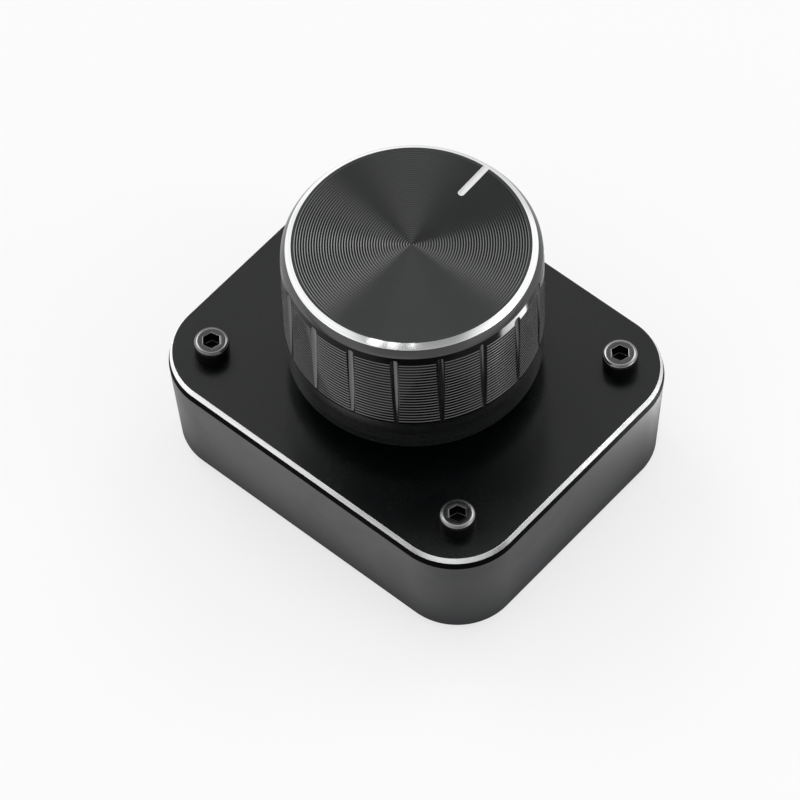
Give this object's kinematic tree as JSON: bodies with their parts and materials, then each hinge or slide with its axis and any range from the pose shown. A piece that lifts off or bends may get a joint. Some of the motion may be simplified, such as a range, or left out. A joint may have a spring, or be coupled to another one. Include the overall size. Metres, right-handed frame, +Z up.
{
  "type": "usb volume control knob",
  "caption": "Desk volume control: a large fluted metal knob that turns without end and clicks when pressed, on a screwed metal case with a data socket at the back.",
  "frame": {"origin": "on the desk under the middle of the case", "axes": "+X along the case's long side, +Y to the back, where the socket is, +Z up along the knob's axis"},
  "size_m": [0.0654, 0.0542, 0.05],
  "materials": {
    "case_black": "bead-blasted black anodised",
    "plate_black": "satin black anodised with a bright cut bevel",
    "knob_black": "turned, black anodised, with a bright cut bevel and pointer slot",
    "screw_black": "black oxide with bright worn rims",
    "zinc": "bright zinc plated",
    "tin": "tinned",
    "spring_steel": "rolled",
    "gold": "gold plated",
    "rubber": "matt",
    "board": "solder mask",
    "chip": "moulded",
    "moulding": "moulded",
    "ceramic": "fired"
  },
  "bodies": {
    "case": {"base_tray": "case_black", "rubber_feet": "rubber", "top_plate": "plate_black", "cap_screws": "screw_black", "circuit_board": "board", "board_screws": "zinc", "usb_shell": "tin", "usb_tongue": "chip", "usb_contacts": "gold", "controller_chip": "chip", "controller_leads": "tin", "clock_crystal": "tin", "voltage_regulator": "chip", "capacitors": "ceramic", "resistors": "chip", "encoder_base": "moulding", "encoder_frame": "zinc", "encoder_pins": "tin", "encoder_bushing": "zinc", "detent_spring": "spring_steel", "switch_dome": "spring_steel", "lock_washer": "zinc", "mounting_nut": "zinc"},
    "push_button": {"switch_plunger": "rubber"},
    "knob": {"encoder_shaft": "zinc", "shaft_clip": "spring_steel", "knob_body": "knob_black", "set_screw": "screw_black"},
    "rotor": {"encoder_rotor": "moulding", "wiper_brush": "gold"}
  },
  "joints": [
    {"name": "knob_press", "type": "slide", "parent": "case", "child": "push_button", "axis": [0, 0, -1], "range_m": [0, 0.0005], "stiffness_N_per_m": 6000, "springref_m": -0.0004, "deforming": ["switch_dome"]},
    {"name": "knob_turn", "type": "hinge", "parent": "push_button", "child": "knob", "pos_m": [0, 0, 0.03], "axis": [0, 0, 1], "continuous": true},
    {"name": "rotor_turn", "type": "hinge", "parent": "case", "child": "rotor", "pos_m": [0, 0, 0.0149], "axis": [0, 0, 1], "continuous": true}
  ],
  "couplings": [
    {"joint": "rotor_turn", "follows": "knob_turn", "ratio": 1}
  ]
}
